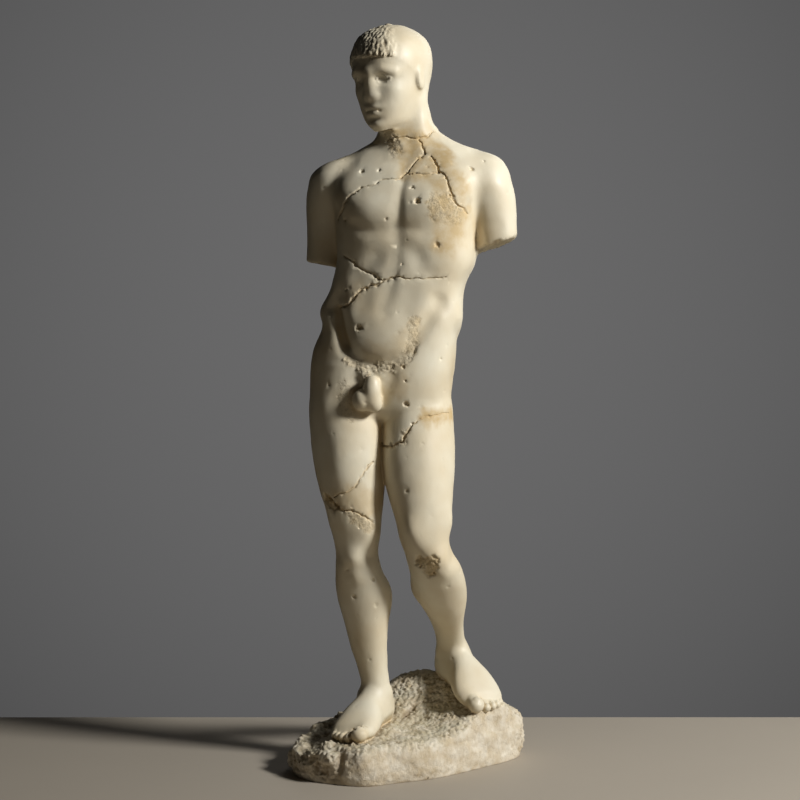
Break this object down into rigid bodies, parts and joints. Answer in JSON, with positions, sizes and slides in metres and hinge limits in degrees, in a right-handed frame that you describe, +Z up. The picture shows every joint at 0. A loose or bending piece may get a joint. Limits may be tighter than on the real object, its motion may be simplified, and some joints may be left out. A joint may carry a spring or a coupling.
{
  "type": "armless classical nude statue on a rock base",
  "caption": "Standing nude figure in the classical manner, arms broken off, one leg trailing, cast in one with the rough rock under its feet; stands by its own weight.",
  "frame": {"origin": "on the floor under the middle of the statue's box", "axes": "+Z up; the figure's front faces -Y and its left side is +X"},
  "size_m": [0.3844, 0.3178, 1.1955],
  "materials": {
    "stone": "smooth ivory stone with a waxy gloss, ochre stains along mended cracks, small pits, and a rough unpolished rock"
  },
  "bodies": {
    "root": {"statue": "stone"}
  },
  "joints": []
}
